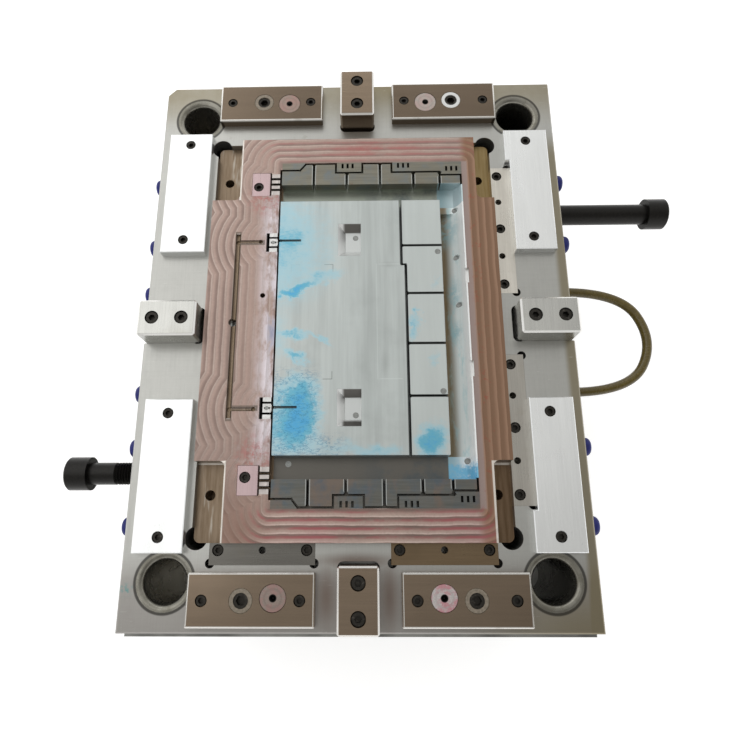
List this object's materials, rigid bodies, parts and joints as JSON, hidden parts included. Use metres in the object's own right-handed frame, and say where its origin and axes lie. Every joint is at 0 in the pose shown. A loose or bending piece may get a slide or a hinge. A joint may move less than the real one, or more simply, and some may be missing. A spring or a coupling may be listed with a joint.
{
  "type": "injection mould half",
  "caption": "Moving half of an injection mould: core insert held by wedges, guide bushes, interlocks, water fittings and a sliding ejector set.",
  "frame": {"origin": "middle of the clamp plate's underside", "axes": "+Z out of the parting face, +X across the plates towards the hose side, +Y along the plates towards the back"},
  "size_m": [0.688, 0.606, 0.312],
  "materials": {
    "plate_steel": "ground, oily",
    "base_steel": "milled",
    "insert_steel": "milled, stained",
    "core_steel": "ground",
    "end_steel": "ground, oily",
    "ground_steel": "ground bright",
    "bar_steel": "ground, brown reflections",
    "wedge_steel": "ground",
    "bush_steel": "hardened, ground",
    "pin_steel": "hardened, ground",
    "spring_steel": "painted",
    "sleeve_nylon": "worn",
    "nipple_brass": "turned",
    "blue_cap": "soft",
    "hose_plastic": "translucent amber",
    "black_screw": "black oxide"
  },
  "bodies": {
    "mould_half": {"bar_screws": "black_screw", "base_bolts": "black_screw", "clamp_plate": "base_steel", "core_block": "core_steel", "core_insert": "insert_steel", "core_plate": "plate_steel", "end_block_back": "end_steel", "end_block_front": "end_steel", "gate_insert_back": "core_steel", "gate_insert_front": "core_steel", "guide_bush_back_left": "bush_steel", "guide_bush_back_right": "bush_steel", "guide_bush_front_left": "bush_steel", "guide_bush_front_right": "bush_steel", "hoist_screw_left": "black_screw", "hoist_screw_right": "black_screw", "hose": "hose_plastic", "hose_tails": "nipple_brass", "insert_bolts": "black_screw", "interlock_back": "bar_steel", "interlock_front": "bar_steel", "interlock_left": "bar_steel", "interlock_right": "bar_steel", "interlock_screws": "black_screw", "latch_insert_back": "insert_steel", "latch_insert_front": "insert_steel", "latch_screws": "black_screw", "nipple_caps": "blue_cap", "pillar_screws": "black_screw", "puller_screws": "black_screw", "puller_sleeves": "sleeve_nylon", "rest_bar_back_left": "bar_steel", "rest_bar_back_right": "bar_steel", "rest_bar_front_left": "bar_steel", "rest_bar_front_right": "bar_steel", "return_springs": "spring_steel", "spacer_block_left": "base_steel", "spacer_block_right": "base_steel", "stop_buttons": "base_steel", "support_pillars": "base_steel", "trough_bar": "end_steel", "water_nipples": "nipple_brass", "wear_bar_back_left": "ground_steel", "wear_bar_back_right": "ground_steel", "wear_bar_front_left": "ground_steel", "wear_bar_front_right": "ground_steel", "wedge_end_left": "wedge_steel", "wedge_end_right": "wedge_steel", "wedge_screws": "black_screw", "wedge_side_lower": "wedge_steel", "wedge_side_upper": "wedge_steel"},
    "ejector_set": {"ejector_plate": "base_steel", "ejector_retainer_plate": "base_steel", "ejector_plate_screws": "black_screw", "ejector_pins": "pin_steel", "sprue_puller": "pin_steel", "return_pin_back_left": "pin_steel", "return_pin_back_right": "pin_steel", "return_pin_front_left": "pin_steel", "return_pin_front_right": "pin_steel"}
  },
  "joints": [
    {"name": "ejector_slide", "type": "slide", "parent": "mould_half", "child": "ejector_set", "axis": [0, 0, 1], "range_m": [0, 0.04], "stiffness_N_per_m": 20000, "springref_m": -0.01, "deforming": ["return_springs"]}
  ]
}
